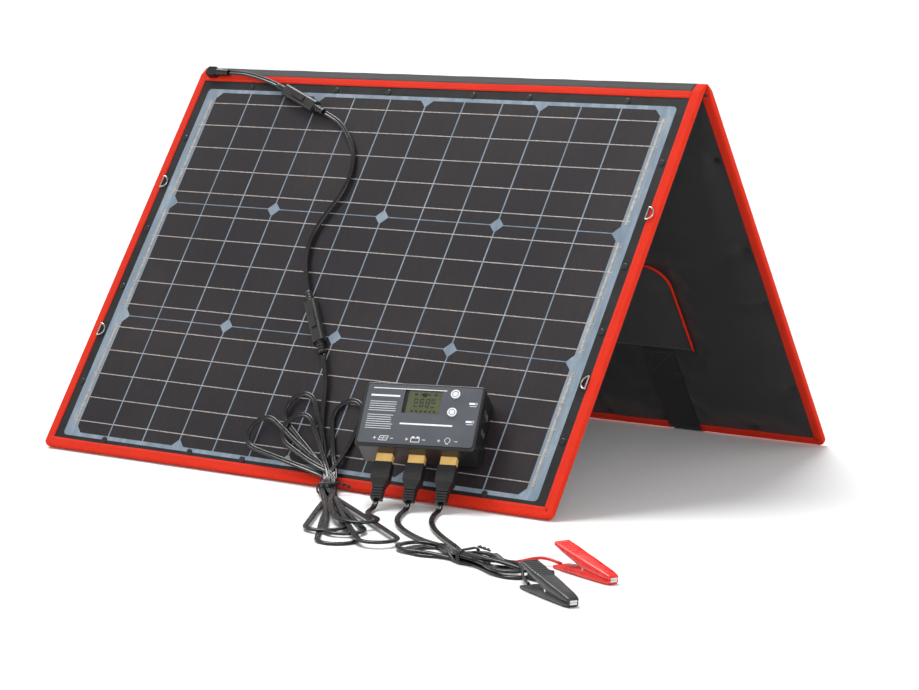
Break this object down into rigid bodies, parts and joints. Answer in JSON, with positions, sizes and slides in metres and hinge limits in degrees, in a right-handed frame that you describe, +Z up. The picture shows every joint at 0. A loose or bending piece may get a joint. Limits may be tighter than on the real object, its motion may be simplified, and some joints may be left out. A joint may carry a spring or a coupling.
{
  "type": "folding solar panel",
  "caption": "Folding camping solar panel: two cloth-bound cell panels standing as a tent, with charge controller, leads and battery clips.",
  "frame": {"origin": "on the ground under the middle of the ridge of the standing tent", "axes": "+X along the ridge to the right seen from the front, +Y towards the back panel, +Z up"},
  "size_m": [0.9665, 0.9579, 0.4462],
  "materials": {
    "case_cloth": "matte woven",
    "stiffener": "matte",
    "laminate": "satin, finely textured",
    "cells": "satin",
    "binding": "woven tape",
    "rivets": "satin black",
    "spine": "matte woven",
    "rings": "bright nickel",
    "webbing": "matte webbing",
    "piping": "woven",
    "black_plastic": "fine texture",
    "rubber": "matte",
    "case_plastic": "satin",
    "faceplate": "satin film",
    "circuit_board": "gloss",
    "display": "gloss",
    "keys": "matte",
    "socket_metal": "bright",
    "yellow_plastic": "satin",
    "red_plastic": "satin",
    "red_wire": "satin",
    "tie": "satin",
    "steel": "bright zinc"
  },
  "bodies": {
    "front_panel": {"battery_hank": "rubber", "battery_lead": "rubber", "battery_plug": "black_plastic", "black_clip_lower": "black_plastic", "black_wire": "rubber", "cable_ties": "tie", "clip_pins": "steel", "clip_springs": "steel", "controller_back_shell": "case_plastic", "controller_board": "circuit_board", "controller_display": "display", "controller_faceplate": "faceplate", "controller_front_shell": "case_plastic", "front_binding": "binding", "front_case_cloth": "case_cloth", "front_cells": "cells", "front_laminate": "laminate", "front_rivets": "rivets", "front_spine": "spine", "front_stiffener": "stiffener", "junction_box": "black_plastic", "lead_gland": "rubber", "load_lead": "rubber", "load_plug": "black_plastic", "load_socket": "yellow_plastic", "lower_connector_plug": "black_plastic", "lower_connector_socket": "black_plastic", "middle_lead": "rubber", "panel_lead": "rubber", "power_sockets": "yellow_plastic", "red_clip_lower": "red_plastic", "red_wire": "red_wire", "ridge_connector_plug": "black_plastic", "ridge_connector_socket": "black_plastic", "solar_hank": "rubber", "solar_lead": "rubber", "solar_plug": "black_plastic", "usb_sockets": "socket_metal"},
    "back_panel": {"back_binding": "binding", "back_case_cloth": "case_cloth", "back_cells": "cells", "back_laminate": "laminate", "back_pocket": "case_cloth", "back_pocket_piping": "piping", "back_rivets": "rivets", "back_spine": "spine", "back_stiffener": "stiffener", "carry_handle": "webbing"},
    "front_ring_left_upper": {"front_ring_left_upper": "rings"},
    "front_ring_left_lower": {"front_ring_left_lower": "rings"},
    "front_ring_right_upper": {"front_ring_right_upper": "rings"},
    "front_ring_right_lower": {"front_ring_right_lower": "rings"},
    "back_ring_left_upper": {"back_ring_left_upper": "rings"},
    "back_ring_left_lower": {"back_ring_left_lower": "rings"},
    "back_ring_right_upper": {"back_ring_right_upper": "rings"},
    "back_ring_right_lower": {"back_ring_right_lower": "rings"},
    "key_upper": {"controller_key_upper": "keys"},
    "key_lower": {"controller_key_lower": "keys"},
    "red_clip_jaw": {"red_clip_upper": "red_plastic"},
    "black_clip_jaw": {"black_clip_upper": "black_plastic"}
  },
  "joints": [
    {"name": "ridge_fold", "type": "hinge", "parent": "front_panel", "child": "back_panel", "pos_m": [0, 0, 0.44246], "axis": [1, 0, 0], "range_deg": [-61, 113]},
    {"name": "front_ring_left_upper_swing", "type": "hinge", "parent": "front_panel", "child": "front_ring_left_upper", "pos_m": [-0.352, -0.09973, 0.307], "axis": [0, -0.5519, -0.8339], "range_deg": [0, 192]},
    {"name": "front_ring_left_lower_swing", "type": "hinge", "parent": "front_panel", "child": "front_ring_left_lower", "pos_m": [-0.352, -0.21343, 0.13522], "axis": [0, -0.5519, -0.8339], "range_deg": [0, 192]},
    {"name": "front_ring_right_upper_swing", "type": "hinge", "parent": "front_panel", "child": "front_ring_right_upper", "pos_m": [0.352, -0.09973, 0.307], "axis": [0, -0.5519, -0.8339], "range_deg": [0, 192]},
    {"name": "front_ring_right_lower_swing", "type": "hinge", "parent": "front_panel", "child": "front_ring_right_lower", "pos_m": [0.352, -0.21343, 0.13522], "axis": [0, 0.5519, 0.8339], "range_deg": [0, 192]},
    {"name": "back_ring_left_upper_swing", "type": "hinge", "parent": "back_panel", "child": "back_ring_left_upper", "pos_m": [-0.352, 0.09973, 0.307], "axis": [0, -0.5519, 0.8339], "range_deg": [0, 192]},
    {"name": "back_ring_left_lower_swing", "type": "hinge", "parent": "back_panel", "child": "back_ring_left_lower", "pos_m": [-0.352, 0.21343, 0.13522], "axis": [0, -0.5519, 0.8339], "range_deg": [0, 192]},
    {"name": "back_ring_right_upper_swing", "type": "hinge", "parent": "back_panel", "child": "back_ring_right_upper", "pos_m": [0.352, 0.09973, 0.307], "axis": [0, 0.5519, -0.8339], "range_deg": [0, 192]},
    {"name": "back_ring_right_lower_swing", "type": "hinge", "parent": "back_panel", "child": "back_ring_right_lower", "pos_m": [0.352, 0.21343, 0.13522], "axis": [0, -0.5519, 0.8339], "range_deg": [0, 192]},
    {"name": "key_upper_press", "type": "slide", "parent": "front_panel", "child": "key_upper", "axis": [-0.2695, 0.7405, -0.6157], "range_m": [0, 0.001], "stiffness_N_per_m": 900, "springref_m": -0.0005},
    {"name": "key_lower_press", "type": "slide", "parent": "front_panel", "child": "key_lower", "axis": [-0.2695, 0.7405, -0.6157], "range_m": [0, 0.001], "stiffness_N_per_m": 900, "springref_m": -0.0005},
    {"name": "red_clip_open", "type": "hinge", "parent": "front_panel", "child": "red_clip_jaw", "pos_m": [0.54, -0.49, 0.00886], "axis": [-0.3746, -0.9272, 0], "range_deg": [0, 20], "stiffness_Nm_per_rad": 1.2, "springref_deg": -14.32},
    {"name": "black_clip_open", "type": "hinge", "parent": "front_panel", "child": "black_clip_jaw", "pos_m": [0.5635, -0.586, 0.00886], "axis": [-0.4695, -0.8829, 0], "range_deg": [0, 20], "stiffness_Nm_per_rad": 1.2, "springref_deg": -14.32}
  ]
}
